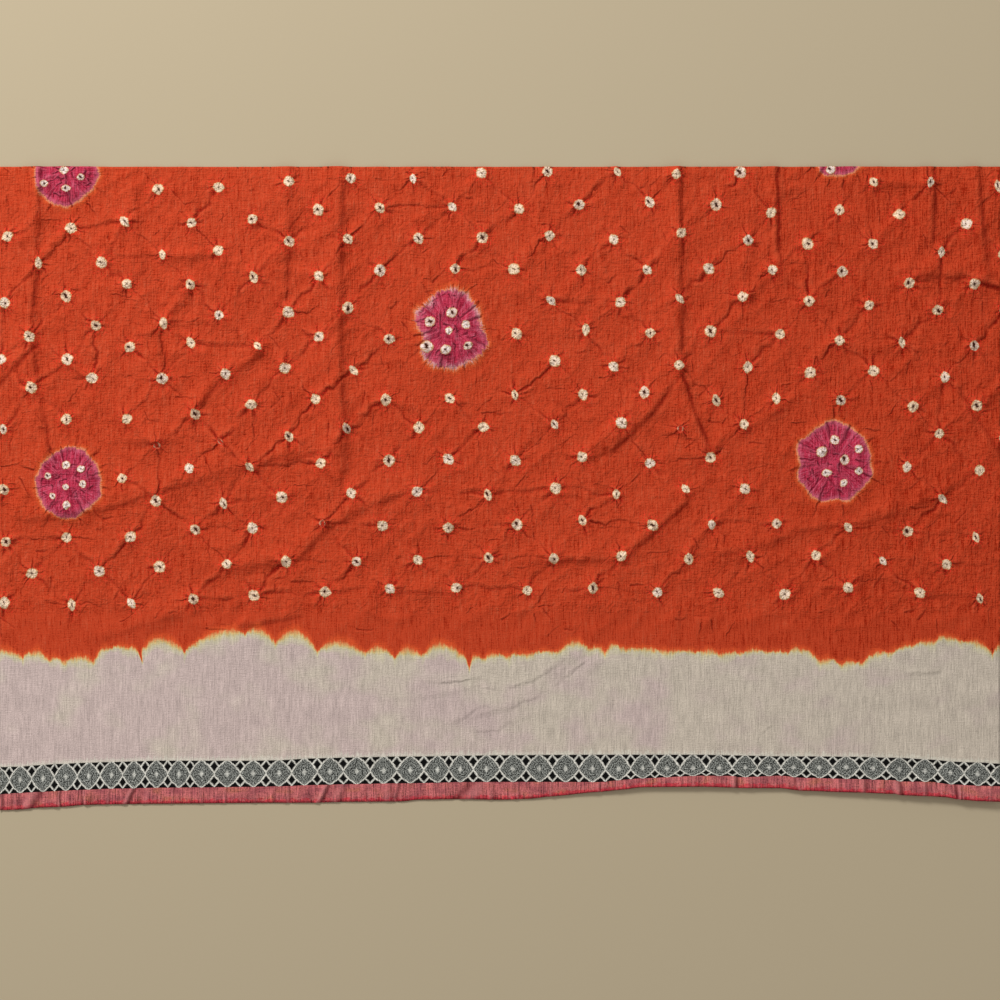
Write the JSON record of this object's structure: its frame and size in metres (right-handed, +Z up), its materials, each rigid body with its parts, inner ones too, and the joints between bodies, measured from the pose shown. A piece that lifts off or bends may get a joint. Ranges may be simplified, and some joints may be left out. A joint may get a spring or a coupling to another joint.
{
  "type": "bandhani cloth",
  "caption": "Cut length of tie-dyed cotton lying creased, with tied dots, gathered roundels, an undyed band, a woven lozenge border and a coloured selvedge.",
  "frame": {"origin": "middle of the cloth's box on the surface it lies on", "axes": "+X along the selvedge, +Y from the selvedge to the far cut edge, +Z up out of the surface"},
  "size_m": [0.5005, 0.3218, 0.0085],
  "materials": {
    "dyed_cotton": "plain-woven cotton with slubs, tie-dyed orange with cream dots and magenta roundels, matt"
  },
  "bodies": {
    "root": {"cloth": "dyed_cotton"}
  },
  "joints": []
}
